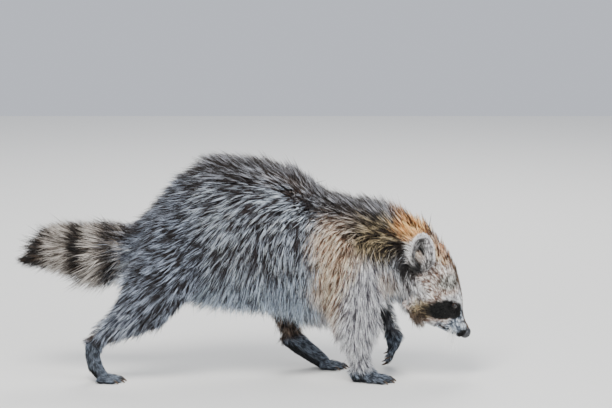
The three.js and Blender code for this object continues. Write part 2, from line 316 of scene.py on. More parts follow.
def nearest_group(points):
    """Which group's solid is nearest to each point."""
    forms, owner = [], []
    for name, nodes in GROUPS.items():
        for node in nodes:
            net = Net(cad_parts[node].data)
            forms.append((net.points, net.faces))
            owner += [GROUP[name]] * len(net.faces)
    tree = BVHTree.FromPolygons(*(part.tolist() for part in joined(forms)))
    nearest = [tree.find_nearest(point)[2] for point in points.tolist()]
    return np.array(owner)[nearest]


def half_thickness(net):
    """Half the way through the body from each vertex."""
    tree = BVHTree.FromPolygons(net.points.tolist(), net.faces.tolist())
    normals = net.normals()
    start = net.points - JUST_INSIDE * normals
    rays = zip(start.tolist(), (-normals).tolist())
    return np.array([tree.ray_cast(place, way, LONGEST_RAY)[3] or 0 for place, way in rays]) / 2


def refined(mesh, places):
    """The mesh with its edges halved within reach of each (place, reach)."""
    form = bmesh.new()
    form.from_mesh(mesh)
    near = []
    for edge in form.edges:
        centre = (edge.verts[0].co + edge.verts[1].co) / 2
        if any((centre - place).length < reach for place, reach in places):
            near.append(edge)
    bmesh.ops.subdivide_edges(form, edges=near, cuts=1, use_grid_fill=True)
    bmesh.ops.triangulate(form, faces=[face for face in form.faces if len(face.verts) > 3])
    form.to_mesh(mesh)
    form.free()
    return mesh


def coat_depth(points, share):
    """How far the skin lies under the tips of the coat."""
    ahead, _, dorsal = in_head(points).T
    face = 1 + 5 * ramp(6, -40, ahead) + 9 * ramp(-45, -100, ahead)
    cheek = 8 * ramp(-2, -40, ahead) * ramp(-8, -40, dorsal)
    depth = share @ GROUP_DEPTH + share[:, GROUP["head"]] * (face + cheek)
    for eye in EYES.values():
        away = norm(points - eye) / MM
        depth = np.minimum(depth, np.maximum(0.2, 0.2 + 0.35 * (away - 10)))
    return MM * depth


def eye_axes(side):
    """The eye's gaze, the line through its corners and its upward way."""
    outwards = ASIDE if side == "left" else -ASIDE
    gaze = unit(np.dot(GAZE, [outwards, AHEAD, DORSAL]))
    corners = np.dot(EYE_CORNERS, [AHEAD, DORSAL])
    corners = unit(corners - (corners @ gaze) * gaze)
    upward = np.cross(gaze, corners)
    return gaze, corners, upward if upward @ DORSAL > 0 else -upward


def set_lids(points):
    """Wraps the skin round each eyeball, with an almond opening between two lids."""
    for side, centre in EYES.items():
        gaze, corners, upward = eye_axes(side)
        offset = points - centre
        radius = norm(offset)
        way = offset / radius[:, None]
        across, above = way @ corners, way @ upward
        opening = np.hypot(across / LID_OPENING[0], above / LID_OPENING[1])
        rim = EYE_RADIUS + LID
        sunk = EYE_RADIUS - 1.4 * MM
        lid = sunk + (rim - sunk) * ramp(0.93, 1.06, opening)
        fold = 0.5 * MM * np.exp(-((opening - 1.5) / 0.14) ** 2)
        lid -= fold * (above > 0)
        share = ramp(2.0, 1.4, opening) * ramp(0.0, 0.25, way @ gaze)
        share *= radius < EYE_RADIUS + 6 * MM
        points = centre + way * (radius + share * (lid - radius))[:, None]
    return points


def mouth_groove(points, normals):
    """Presses the line between the lips into the skin."""
    ahead, _, dorsal = in_head(points).T
    start, height = MOUTH_CORNER
    line = height + (ahead - start) * math.tan(MOUTH_SLOPE)
    depth = np.exp(-((dorsal - line) / 0.8) ** 2) * ramp(start - 3, start + 4, ahead)
    return points - MOUTH_DEPTH * depth[:, None] * normals


class Skin:
    """The skin's mesh, with the share of each group and the coat's reach at each vertex."""

    def __init__(self):
        eyes = [Vector(eye) for eye in EYES.values()]
        fine = [(eye, EYE_FINE) for eye in eyes] + [(Vector(middle("nose")), NOSE_FINE)]
        mesh = refined(body_envelope(), fine)
        mesh = refined(mesh, [(eye, EYE_FINEST) for eye in eyes])
        net = Net(mesh)
        thickness = half_thickness(net)
        groups = np.eye(len(GROUPS))[nearest_group(net.points)]
        self.share = net.blurred(groups, GROUP_BLUR)
        depth = np.minimum(coat_depth(net.points, self.share), THINNEST * thickness)
        depth = net.blurred(depth * ramp(0, 4 * MM, net.points[:, 2]), DEPTH_BLUR)
        away = [norm(net.points - eye) for eye in EYES.values()]
        away_from_eyes = ramp(8 * MM, 22 * MM, np.min(away, axis=0))
        softness = (self.share @ GROUP_SOFTNESS) * (away_from_eyes * 0.9 + 0.1)
        outer = net.points.copy()
        self.net = net
        self.soften(softness, FIRST_SMOOTHING)
        for _ in range(SHRINK_STEPS):
            net.points -= net.normals() * (depth / SHRINK_STEPS)[:, None]
            self.soften(softness, SMOOTHING)
        net.points = set_lids(net.points)
        net.points = mouth_groove(net.points, net.normals())
        net.points[:, 2] = np.maximum(net.points[:, 2], SKIN_FLOOR)
        reach = np.maximum(((outer - net.points) * net.normals()).sum(1), 0.4 * MM)
        self.reach = net.blurred(np.minimum(reach, depth * 1.25 + 0.5 * MM), REACH_BLUR)
        self.mesh = new_mesh("skin", net.points, net.faces)
        self.mesh.polygons.foreach_set("use_smooth", [True] * len(self.mesh.polygons))

    def soften(self, softness, steps):
        for _ in range(steps):
            drift = self.net.around(self.net.points) - self.net.points
            self.net.points += SOFTENING * softness[:, None] * drift


# ---- markings ----

# Each pelt's colours: the root, the shaft, a light tip and a dark tip, and the share of dark tips.
# The blue tint of the flank, belly, thigh, thigh_edge, muzzle and slate pelts is painted light: the cool cast
# of sky light in shade and on the hair tips, over the fur's own grey and white.
PELTS = {
    "flank": ("30241e", "6a7482", "e6f1ff", "241812", 0.55),
    "back": ("261c17", "5b5858", "b0b3bc", "1a120e", 0.7),
    "belly": ("3c3b44", "8198b2", "dcecff", "2b262c", 0.42),
    "tan": ("7d5339", "f6c08c", "fff2de", "37200f", 0.22),
    "shoulder": ("150e0a", "6c5a44", "c9b690", "0d0907", 0.56),
    "rufous": ("9a5526", "f5a24c", "ffd08a", "3f2010", 0.16),
    "lavender": ("5c5460", "f2f3fb", "ffffff", "2a2127", 0.24),
    "thigh": ("271d18", "666a74", "c8d5e9", "1e1613", 0.56),
    "thigh_edge": ("5d6474", "b6c9e8", "f6fbff", "3a3e4c", 0.13),
    "hock": ("1f1612", "54402f", "806a55", "150e0b", 0.54),
    "slate": ("202226", "525a66", "98a4b4", "131418", 0.38),
    "black": ("060606", "0b0b0a", "1d1b18", "040404", 0.6),
    "white": ("a09c9a", "ececec", "ffffff", "6a6462", 0.14),
    "cheek": ("5f5550", "dad7d9", "ffffff", "2c2320", 0.34),
    "fleck": ("866450", "fadfcc", "fffaf4", "43200f", 0.38),
    "olive": ("2f2c25", "9c9c92", "dfe2dc", "24211a", 0.5),
    "muzzle": ("3c4048", "bccbdd", "f0f7ff", "0c0d12", 0.5),
    "buff": ("2a2016", "8f7a5a", "d2bc90", "1e160e", 0.46),
    "crown": ("2a170e", "74452a", "a97750", "1b100a", 0.54),
    "tail_dark": ("1a1410", "33281f", "504236", "0c0908", 0.68),
    "tail_pale": ("54483e", "a3978a", "d2ccc4", "2a221c", 0.28),
    "ear_grey": ("25221f", "77726f", "b9b7b5", "151210", 0.45),
}
PELT = {name: i for i, name in enumerate(PELTS)}
PELT_COLOURS = np.stack([linear(pelt[:4]) for pelt in PELTS.values()])
DARK_SHARE = np.array([pelt[4] for pelt in PELTS.values()])


# The tan and pale streaks behind and over the elbow, and the dark patch over the shoulder: the pelt, its
# amount and the blob's centre, radii, tilt and edge.
FOREQUARTER = (
    ("tan", 0.95, (128, 172), (26, 84), 0, 0.5),
    ("tan", 0.85, (146, 207), (40, 44), 0, 0.5),
    ("buff", 0.65, (150, 262), (40, 20), -12),
    ("lavender", 0.92, (186, 118), (36, 56), -8),
    ("shoulder", 1, (204, 218), (42, 36), -10),
    ("buff", 0.5, (172, 228), (24, 30)),
    ("tan", 0.6, (219, 147), (13, 22), 20),
)
# The way each ear's opening faces
EAR_OPENING = {side: unit(np.array([0.45, y, 0.06])) for side, y in (("right", -0.86), ("left", 0.86))}
# Where each ring begins in x, from the tip
TAIL_RINGS = (
    (-345, "tail_dark"), (-297, "tail_pale"), (-262, "tail_dark"), (-242, "tail_pale"),
    (-214, "tail_dark"), (-195, "tail_pale"), (-184, "back"),
)


def blob(first, second, centre, radii, tilt=0.0, edge=0.35, power=2):
    """1 inside an ellipse, or a squarer form of a higher power, and 0 outside, over a soft edge."""
    turn = math.radians(tilt)
    x, y = first - centre[0], second - centre[1]
    along = np.abs(x * math.cos(turn) + y * math.sin(turn)) / radii[0]
    across = np.abs(y * math.cos(turn) - x * math.sin(turn)) / radii[1]
    return ramp(1 + edge, 1 - edge, (along ** power + across ** power) ** (1 / power))


def wobbled(value, points, most, size, seed):
    """A coordinate moved to and fro by noise, so that no marking has a straight edge."""
    return value + most * (noise(points, size * MM, seed) - 0.5)


class Paint:
    """Layers of pelts over a base, with spots placed by two coordinates."""

    def __init__(self, base, first, second=None):
        self.weights = np.zeros((len(first), len(PELTS)))
        self.first, self.second = first, second
        if base:
            self.lay(base, 1)

    def lay(self, pelt, amount):
        self.weights *= 1 - np.reshape(amount, (-1, 1))
        self.weights[:, PELT[pelt]] += amount

    def spot(self, pelt, amount, *shape):
        self.lay(pelt, amount * blob(self.first, self.second, *shape))


def forequarter(paint, points, x, z):
    x = wobbled(x, points * [1, 1, 0.3], 26, 9, 9)
    for pelt, amount, *shape in FOREQUARTER:
        paint.lay(pelt, amount * blob(x, z, *shape))


def torso_paint(points, normals):
    x, _, z = points.T / MM
    x, z = wobbled(x, points, 14, 18, 1), wobbled(z, points, 14, 18, 2)
    ahead, _, up = normals.T
    paint = Paint("flank", x, z)
    paint.lay("thigh", ramp(-60, -105, x))
    paint.spot("back", 0.5, (-78, 190), (12, 46), 8, 0.6)
    # The lower body takes the belly's pelt: its pale grey is the fur's own, its blue tint painted shade lit
    # by the sky.
    paint.lay("belly", ramp(178, 130, z) * 0.9)
    paint.spot("tan", 0.5, (60, 300), (42, 9), -25)
    forequarter(paint, points, x, z)
    paint.spot("cheek", 0.95, (242, 140), (18, 34), 15)
    paint.spot("rufous", 1, (248, 234), (28, 24), -40)
    paint.spot("black", 0.92, (241, 170), (15, 20))
    paint.lay("back", ramp(0.5, 0.85, up) * ramp(240, 200, x) * 0.95)
    paint.lay("crown", ramp(0.75, 0.97, up + 0.3 * ahead) * ramp(205, 245, x) * 0.7)
    paint.spot("thigh_edge", up < 0.4, (-192, 176), (20, 44), -20)
    return paint


def head_paint(points):
    ahead, aside, dorsal = in_head(points).T
    ahead, dorsal = wobbled(ahead, points, 2.5, 5, 3), wobbled(dorsal, points, 2.5, 5, 5)
    aside = np.abs(aside)
    paint = Paint("fleck", ahead, dorsal)
    paint.spot("olive", 0.85, (-30, 20), (17, 12), 48)
    paint.spot("cheek", 0.95, (-70, -36), (36, 22), 20)
    paint.lay("cheek", ramp(-46, -58, dorsal) * ramp(-30, -45, ahead))
    paint.lay("rufous", ramp(-84, -112, ahead) * ramp(0, 18, dorsal) * 0.9)
    paint.spot("rufous", 0.55, (-72, 36), (22, 9))
    paint.lay("white", ramp(-13, -4, ahead) * (dorsal > -14))
    paint.spot("white", 0.9, (-10, 6), (14, 6), 50)
    paint.spot("white", ramp(14, 8, aside) * 0.9, (-8, 18), (20, 8), -25)
    paint.spot("buff", 0.95, (-27, -37), (17, 15), 40)
    paint.spot("hock", 0.95, (-25, -53), (15, 13), 30)
    paint.spot("white", 0.75, (1, -40), (14, 5), 45)
    paint.lay("muzzle", ramp(8, 18, ahead))
    paint.lay("white", ramp(20, 30, ahead) * ramp(-16, -10, dorsal) * 0.35)
    paint.lay("muzzle", ramp(-26, -34, dorsal) * ramp(-2, 10, ahead))
    paint.spot("hock", 0.8, (13, -35), (8, 2.2), 12)
    mask = np.max([
        blob(ahead, dorsal, (-5.5, -13.5), (21.5, 15.5), 47, 0.12, 2.4),
        0.95 * blob(ahead, dorsal, (-18, -25), (13, 10.5), 47, 0.45),
        blob(ahead, dorsal, (7.6, -4.2), (9.7, 13.2), 47, 0.12, 2.4),
    ], axis=0)
    paint.lay("black", mask * ramp(6, 10, aside))
    crown = ramp(17, 8, aside) * ramp(-10, -50, ahead) * (dorsal > 10)
    paint.lay("crown", crown * 0.95)
    edge = 5.5 + 6 * ramp(5, -25, ahead)
    stripe = ramp(edge + 1, edge - 1, aside) * (dorsal > -12)
    paint.lay("hock", stripe * ramp(-75, -35, ahead))
    paint.spot("black", 1, (46, -22), (9, 11), 0, 0.2)
    paint.spot("black", 0.95, (-86, -8), (16, 16))
    paint.spot("black", 0.7, (-70, -17), (13, 3.5), -35)
    return paint


def ear_paint(points, normals):
    paint = Paint("ear_grey", points)
    for side, opening in EAR_OPENING.items():
        low, high = (np.array(corner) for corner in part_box(f"ear_{side}"))
        offset = points - (low + high) / 2
        across, _, rise = (offset / ((high - low) / 2)).T
        paint.first, paint.second = across, rise
        near = np.abs(offset[:, 1]) < 40 * MM  # and so not the other ear
        rim = ramp(0.78, 0.9, np.hypot(across, rise)) * near
        paint.lay("white", rim * 0.95 * ramp(-0.75, -0.2, rise))
        inside = (normals @ opening > 0.15) & near
        paint.spot("cheek", 0.8 * inside, (0.5, 0.25), (0.28, 0.6))
        paint.spot("black", 0.7 * inside, (-0.1, -0.15), (0.4, 0.6))
        paint.spot("black", 0.8 * near, (-0.45, -0.75), (0.5, 0.35))
        paint.spot("white", 0.9 * inside, (0.12, -0.42), (0.4, 0.1), 60)
    return paint


def tail_paint(points):
    x = wobbled(points[:, 0] / MM, points, 8, 9, 4)
    paint = Paint(None, x)
    for start, pelt in TAIL_RINGS:
        paint.lay(pelt, ramp(start - 6, start + 6, x))
    return paint


def hindleg_paint(points, side):
    x, _, z = points.T / MM
    paint = Paint("thigh", x, z)
    if side == "right":
        paint.lay("flank", ramp(-120, -80, x) * ramp(150, 110, z) * 0.6)
        paint.spot("thigh_edge", 0.95, (-192, 172), (18, 42), -20)
        paint.spot("thigh_edge", 0.5, (-195, 95), (40, 22), -40)
        paint.spot("hock", 0.9, (-236, 62), (10, 16), -20)
    else:
        paint.lay("belly", ramp(135, 165, z) * 0.6)
        paint.lay("hock", ramp(112, 80, z) * 0.95)
    return paint


def foreleg_paint(points, side):
    x, _, z = points.T / MM
    x = wobbled(x, points, 14, 18, 1)
    paint = Paint("lavender", x, z)
    forequarter(paint, points, x, z)
    if side == "right":
        paint.lay("tan", ramp(146, 120, x) * ramp(40, 110, z) * 0.7)
    else:
        paint.lay("slate", ramp(150, 105, z) * 0.7)
        paint.lay("black", ramp(110, 80, z) * ramp(226, 214, x) * 0.9)
        paint.lay("lavender", ramp(222, 232, x) * ramp(60, 85, z) * 0.6)
    return paint


def paw_paint(normals):
    # Slate on the tops: dark fur whose blue-grey is partly painted sheen of the sky; black towards the
    # undersides, the pads' own colour.
    paint = Paint("slate", normals)
    paint.lay("black", ramp(0.2, -0.4, normals[:, 2]) * 0.9)
    return paint


def pelts_at(points, normals, share):
    """The share of each pelt at each place."""
    paints = [
        torso_paint(points, normals), head_paint(points), ear_paint(points, normals), tail_paint(points),
        foreleg_paint(points, "right"), foreleg_paint(points, "left"),
        hindleg_paint(points, "right"), hindleg_paint(points, "left"),
        *[paw_paint(normals)] * len(PAWS),
    ]  # in the order of GROUPS
    ears = GROUP["ears"]
    own = ramp(0.12, 0.5, share[:, ears])
    shares = share * ((1 - own) / np.maximum(1 - share[:, ears], 1e-6))[:, None]
    shares[:, ears] = own
    return sum(shares[:, [i]] * paint.weights for i, paint in enumerate(paints))


# ---- the lie of the coat ----

# Guides in the side view: a place (x, z) in millimetres and the way the hair points there.
COMB = {
    "torso": [
        (-113, 296, -0.85, 0.3), (-164, 218, -1, -0.1), (-113, 236, -0.95, -0.3), (-77, 199, -0.8, -0.6),
        (-41, 272, -0.85, -0.5), (-137, 175, -0.95, -0.35), (-137, 128, -0.78, -0.62), (-41, 211, -0.6, -0.8),
        (-41, 177, -0.5, -0.87), (-5, 152, -0.3, -0.95), (0, 340, -0.95, 0.2), (-10, 215, -0.5, -0.87),
        (20, 275, -0.8, -0.6), (47, 299, -0.9, 0.1), (35, 230, -0.3, -0.95), (59, 184, -0.08, -1),
        (80, 215, -0.2, -0.97), (83, 126, -0.02, -1), (80, 262, -0.8, -0.5), (116, 242, -0.75, -0.65),
        (139, 207, -0.5, -0.85), (116, 175, -0.1, -1), (116, 137, 0, -1), (151, 286, -0.9, 0.3),
        (196, 230, -0.5, 0.1), (208, 271, -0.6, 0.7), (173, 172, -0.35, -0.94), (211, 184, 0, -1),
        (230, 160, 0.4, -0.92), (248, 240, -0.55, 0.75), (241, 210, -0.7, 0.2), (0, 115, -0.2, -1),
        (-60, 130, -0.6, -0.8), (245, 135, 0.5, -0.87),
    ],
    "foreleg_right": [
        (166, 190, -0.3, -0.95), (151, 114, -0.45, -0.89), (185, 137, 0.0, -1), (208, 95, 0.42, -0.9),
        (173, 50, -0.05, -1), (200, 42, 0.2, -1), (180, 15, 0.2, -1),
    ],
    "foreleg_left": [(160, 165, -0.1, -1), (200, 100, 0.3, -0.95), (225, 60, 0, -1)],
    "hindleg_right": [
        (-92, 220, -0.85, -0.5), (-137, 175, -0.95, -0.35), (-137, 128, -0.78, -0.62),
        (-104, 126, -0.7, -0.72), (-185, 91, -0.72, -0.7), (-224, 73, -0.4, -0.9), (-226, 40, 0.1, -1),
    ],
    "hindleg_left": [(-60, 200, 0.1, -1), (10, 150, 0.2, -0.97), (60, 85, 0.05, -1), (90, 40, 0.75, -0.65)],
    "foreleg_right_paw": [(175, 15, 0.6, -0.8), (205, 8, 1, -0.15)],
    "foreleg_left_paw": [(225, 50, 0, -1), (235, 20, 0.25, -1)],
    "hindleg_right_paw": [(-226, 40, 0.1, -1), (-190, 8, 1, -0.1)],
    "hindleg_left_paw": [(90, 40, 0.75, -0.65), (140, 8, 1, -0.1)],
}
GUIDE_REACH = 22  # millimetres
TAIL_HEIGHT = 190 * MM


def combed(points, guides):
    """The way of the hair from the guides near each place."""
    x, _, z = points.T / MM
    guides = np.array(guides, float)
    away = (x[:, None] - guides[:, 0]) ** 2 + (z[:, None] - guides[:, 1]) ** 2
    pull = np.exp(-away / (2 * GUIDE_REACH ** 2)) + 1e-3 / (1 + away)
    way = pull @ guides[:, 2:] / pull.sum(1, keepdims=True)
    return unit(np.stack([way[:, 0], np.zeros(len(way)), way[:, 1]], 1))


def head_lie(points):
    """Back over the head from the nose, and down and a little ahead in the ruff of the cheek."""
    ahead, aside, dorsal = in_head(points).T
    down = 0.4 * ramp(0, -40, dorsal) * ramp(20, -20, ahead)
    out = 0.35 * ramp(-10, -40, ahead)
    way = -AHEAD - down[:, None] * DORSAL + (out * np.sign(aside))[:, None] * ASIDE
    ruff = ramp(-28, -52, ahead) * ramp(4, -18, dorsal)
    ruff = np.maximum(ruff, ramp(-2, -20, ahead) * ramp(-34, -48, dorsal))
    return unit(way * (1 - ruff)[:, None] + ruff[:, None] * np.array([0.42, 0, -0.9]))


def tail_lie(points):
    """Along the tail to its tip, spreading from its middle line."""
    spread = points * [0, 1, 1] - [0, 0, TAIL_HEIGHT]
    return unit(np.array([-1.0, 0, -0.05]) + 0.25 * unit(spread))


def lie_of_coat(points, share):
    """The way the hair points at each place, not yet laid along the skin."""
    ways = {name: combed(points, guides) for name, guides in COMB.items()}
    ways["head"] = head_lie(points)
    ways["ears"] = unit(np.tile([-0.1, 0, 1.0], (len(points), 1)))
    ways["tail"] = tail_lie(points)
    return unit(sum(share[:, [i]] * ways[name] for name, i in GROUP.items()))


# ---- tufts ----

STRAYS = 0.1  # the share of hairs that stand out a little and belong to no lock
BARE_LENGTH, LENGTH_PER_REACH = 2.4 * MM, 1.55
BARE_WIDTH, WIDTH_PER_LENGTH = 0.2 * MM, 0.014
STRAY_LENGTH = 1.12
LENGTHS, WIDTHS, HEIGHTS = (0.75, 1.18), (0.75, 1.2), (0.72, 1.08)  # from tuft to tuft
STEEPEST = 1.35  # radians
LOCK_REACH = 15 * MM
FLECK = 2.7 * MM  # the size of the dark and light flecks in short hair
TUFT_PROFILE = (0.75, 0.9)  # a tuft's half width at each of its rings, before it ends in a point
RINGS = len(TUFT_PROFILE)
TUFT_TRIANGLES = 6 * RINGS - 2
UV_PATCH = 0.003  # how much of the map each tuft takes
UV_SLICES = 12
PIECE_TRIANGLES = 190_000
# Each region's groups, and the way along it that its map is laid out by
COAT_REGIONS = {
    "body": (["torso"], (1, 0, 0)), "head": (["head"], tuple(-AHEAD)), "ears": (["ears"], (0, 0, 1)),
    "tail": (["tail"], (1, 0, 0)),
    **{limb: ([limb, f"{limb}_paw"], (0, 0, 1)) for limb in LIMBS},
}
SLOTS = {"head": "face_fur", "ears": "ear_fur", "tail": "tail_fur"}  # and "coat" for the others


def extra_length(points, share):
    """How much longer the coat is at each place than its depth there calls for."""
    x, _, z = points.T / MM
    ahead, aside, dorsal = in_head(points).T
    crest = ramp(-10, -45, ahead) * ramp(14, 5, np.abs(aside)) * (dorsal > 10)
    longer = 0.4 * blob(x, z, (-192, 170), (24, 44), -20)
    longer += 0.5 * blob(ahead, dorsal, (-29, -54), (14, 14))
    longer += 0.5 * crest * share[:, GROUP["head"]] + 0.1 * share[:, GROUP["ears"]]
    return 1 + longer + 0.5 * share[:, PAWS].sum(1)


def sampled(skin, per_area):
    """Roots spread evenly over the skin, per_area at each vertex: faces and barycentric shares."""
    net = skin.net
    areas = norm(net.face_cross(net.points)) / 2
    wanted = areas * per_area[net.faces].mean(1)
    total = np.cumsum(wanted)
    marks = np.arange(random.uniform(), total[-1], 1.0)
    faces = np.searchsorted(total, marks)
    first, second = random.uniform(size=(2, len(faces)))
    folded = first + second > 1
    first[folded], second[folded] = 1 - first[folded], 1 - second[folded]
    return net.faces[faces], np.stack([1 - first - second, first, second], 1)


def blended(values, corners, parts):
    """The values at the vertices, mixed by each root's barycentric shares."""
    picked = values[corners]
    return (picked * parts.reshape(parts.shape + (1,) * (picked.ndim - 2))).sum(1)


class Coat:
    """Everything that a set of tufts needs, one row for each tuft."""

    def __init__(self, skin, per_area, lock, pull, longer=1.0, wider=1.0, deep=False):
        corners, parts = sampled(skin, per_area)
        self.root = blended(skin.net.points, corners, parts)
        self.normal = unit(blended(skin.net.normals(), corners, parts))
        self.share = blended(skin.share, corners, parts)
        self.reach = blended(skin.reach, corners, parts)
        count = len(self.root)
        self.stray = random.uniform(size=count) < STRAYS
        length = BARE_LENGTH + LENGTH_PER_REACH * self.reach
        self.length = length * longer * random.uniform(*LENGTHS, count)
        extra = extra_length(self.root, self.share)
        self.length *= extra * np.where(self.stray, STRAY_LENGTH, 1)
        width = BARE_WIDTH + WIDTH_PER_LENGTH * self.length
        self.width = width * wider * random.uniform(*WIDTHS, count)
        self.lay(extra)
        self.gather(lock, pull)
        self.line[:, 1:, 2] = np.maximum(self.line[:, 1:, 2], COAT_FLOOR)
        self.colour(deep)

    def lay(self, extra):
        """Runs each tuft along the coat's lie, out to the coat's depth."""
        count = len(self.root)
        on_tail = self.share[:, GROUP["tail"]]
        nape = blob(*(self.root[:, [0, 2]].T / MM), (268, 222), (62, 36), -40, 0.3)
        top = ramp(0.35, 0.9, self.normal[:, 2])
        lie = lie_of_coat(self.root, self.share)
        loose = 0.13 + 0.09 * on_tail + 0.1 * self.stray
        lie = unit(lie + loose[:, None] * random.normal(0, 1, (count, 3)))
        outwards = (lie * self.normal).sum(1)
        flat = lie - outwards[:, None] * self.normal
        steep = norm(flat)
        self.flat = unit(flat)
        sunk = np.clip(0.12 * self.reach, 0.15 * MM, 0.7 * MM)
        height = extra * self.reach * random.uniform(*HEIGHTS, count) + sunk
        rise = np.clip(height / self.length, 0.18, 0.95)
        hanging = ramp(0.9, 0.3, steep) * (outwards > 0)
        rise += 0.35 * hanging + 0.08 * top * self.share[:, GROUP["torso"]] + 0.17 * nape * top
        rise += 0.12 * self.stray
        angle = np.arcsin(np.minimum(rise, 0.97))
        curl = 0.9 - 0.55 * on_tail
        line = [self.root - sunk[:, None] * self.normal]
        for step in range(RINGS):
            bend = np.minimum(angle * (1 + curl * (0.5 - (step + 0.5) / RINGS)), STEEPEST)
            way = np.cos(bend)[:, None] * self.flat + np.sin(bend)[:, None] * self.normal
            sag = np.array([0, 0, -0.1 * step / RINGS]) * (self.length / (30 * MM))[:, None]
            line.append(line[-1] + (self.length / RINGS)[:, None] * unit(way + sag))
        self.line = np.stack(line, 1)

    def gather(self, lock, pull):
        """Draws the tips of neighbouring tufts together into locks."""
        count = len(self.root)
        centres = random.permutation(count)[: max(1, count // lock)]
        tree = KDTree(len(centres))
        for i, place in enumerate(self.root[centres].tolist()):
            tree.insert(place, i)
        tree.balance()
        self.lock = centres[[tree.find(place)[1] for place in self.root.tolist()]]
        tips = self.line[:, -1]
        offset = tips[self.lock] - tips
        same_way = (self.normal * self.normal[self.lock]).sum(1) > 0.5
        near = norm(offset) < LOCK_REACH
        amount = pull * same_way * near * ramp(4 * MM, 14 * MM, self.length) * ~self.stray
        for ring in range(1, RINGS + 1):
            share = (ring / RINGS) ** 1.3
            self.line[:, ring] += (amount * share)[:, None] * offset

    def colour(self, deep):
        """Colours from root to tip: dark at the root, a paler shaft, and a light or a dark tip."""
        count = len(self.root)
        seen = self.root + 0.6 * (self.line[:, -1] - self.root)
        spread_out = 0.14 - 0.1 * self.share[:, GROUP["tail"]]
        seen += (spread_out * self.length)[:, None] * random.normal(0, 1, (count, 3))
        pelts = pelts_at(seen, self.normal, self.share)
        root, shaft, light, black = np.einsum("np,pkc->knc", pelts, PELT_COLOURS)
        of_lock = random.uniform(size=count)[self.lock]
        flecks = np.clip(3.2 * (noise(seen, FLECK, 7) - 0.5) + 0.5, 0, 1)
        short = ramp(9 * MM, 4 * MM, self.reach)
        lot = 0.82 * (of_lock * (1 - short) + flecks * short) + 0.18 * random.uniform(size=count)
        spread = (lot - 0.5) * 1.12 + 0.5
        dark_share = pelts @ DARK_SHARE
        dark = ramp(dark_share + 0.05, dark_share - 0.05, spread)[:, None]
        tip = light * (1 - dark) + black * dark
        body = (0.42 * shaft + 0.58 * light) * (1 - dark) + (0.15 * shaft + 0.85 * black) * dark
        if deep:
            tip, body = 0.55 * root + 0.45 * body, 0.8 * root + 0.2 * body
        tint = 1 + 0.5 * (random.uniform(size=count)[self.lock] - 0.5)
        tint += 0.3 * (random.uniform(size=count) - 0.5)
        self.colours = np.stack([root, body, tip], 1) * tint[:, None, None]


def unwrapped(points, axis):
    """Places round and along a form, in 0 to 1, from its own middle line."""
    axis = unit(np.array(axis, float))
    first = unit(np.cross(axis, [0.13, 1, 0.07]))
    second = np.cross(axis, first)
    along, one, two = points @ axis, points @ first, points @ second
    edges = np.quantile(along, np.linspace(0, 1, UV_SLICES + 1))
    which = np.clip(np.searchsorted(edges, along) - 1, 0, UV_SLICES - 1)
    count = np.maximum(np.bincount(which, minlength=UV_SLICES), 1)
    mid = [np.bincount(which, value, UV_SLICES) / count for value in (along, one, two)]
    one, two = (value - np.interp(along, mid[0], line) for value, line in zip((one, two), mid[1:]))
    angle = np.arctan2(two, one)
    height = (along - along.min()) / np.ptp(along)
    return 0.01 + 0.98 * np.stack([angle / (2 * math.pi) + 0.5, height], 1)


def tuft_mesh(name, coat, rows, spots):
    """Solid three-sided locks that taper to a point, with their colours and their OFBake patches."""
    count, per_tuft = len(rows), 3 * RINGS + 1
    line = coat.line[rows]
    aside = unit(np.cross(coat.flat[rows], coat.normal[rows]))
    verts = np.empty((count, per_tuft, 3))
    for ring, share in enumerate(TUFT_PROFILE):
        ahead = unit(line[:, ring + 1] - line[:, max(ring - 1, 0)])
        top = unit(np.cross(aside, ahead))
        size = (coat.width[rows] * share)[:, None]
        for corner, (x, y) in enumerate(((-1, -0.35), (1, -0.35), (0, 0.75))):
            verts[:, 3 * ring + corner] = line[:, ring] + size * (x * aside + y * top)
    verts[:, -1] = line[:, -1]
    pattern, spot = [(0, 2, 1)], [((0, 0), (0.5, 0.15), (1, 0))]
    for ring in range(RINGS):
        v0, v1 = (0.15 + 0.85 * row / RINGS for row in (ring, ring + 1))
        for side in range(3):
            a, b = 3 * ring + side, 3 * ring + (side + 1) % 3
            u0, u1 = side / 3, (side + 1) / 3
            if ring == RINGS - 1:
                pattern.append((a, b, 3 * RINGS))
                spot.append(((u0, v0), (u1, v0), ((u0 + u1) / 2, v1)))
            else:
                pattern += [(a, b, b + 3), (a, b + 3, a + 3)]
                spot += [((u0, v0), (u1, v0), (u1, v1)), ((u0, v0), (u1, v1), (u0, v1))]
    pattern, spot = np.array(pattern), np.array(spot)
    faces = (np.arange(count)[:, None, None] * per_tuft + pattern).reshape(-1, 3)
    mesh = bpy.data.meshes.new(name)
    mesh.vertices.add(count * per_tuft)
    mesh.vertices.foreach_set("co", verts.astype(np.float32).ravel())
    mesh.loops.add(faces.size)
    mesh.loops.foreach_set("vertex_index", faces.astype(np.int32).ravel())
    mesh.polygons.add(len(faces))
    mesh.polygons.foreach_set("loop_start", np.arange(0, faces.size, 3, dtype=np.int32))
    mesh.polygons.foreach_set("use_smooth", np.ones(len(faces), bool))
    uv = spots[rows][:, None, None] + UV_PATCH * (spot - 0.5)
    mesh.uv_layers.new(name="OFBake").uv.foreach_set("vector", uv.astype(np.float32).ravel())
    ring_of = np.append(np.repeat(np.arange(RINGS), 3), RINGS)
    paint_vertices(mesh, coat.colours[rows][:, ring_of].reshape(-1, 3))
    mesh.update(calc_edges=True)
    return mesh


def paint_vertices(mesh, colours):
    """The layer of colours, for each vertex, that the materials read."""
    layer = mesh.color_attributes.new("Tint", "FLOAT_COLOR", "POINT")
    rgba = np.ones((len(colours), 4), np.float32)
    rgba[:, :3] = np.clip(colours, 0, 1)
    layer.data.foreach_set("color", rgba.ravel())


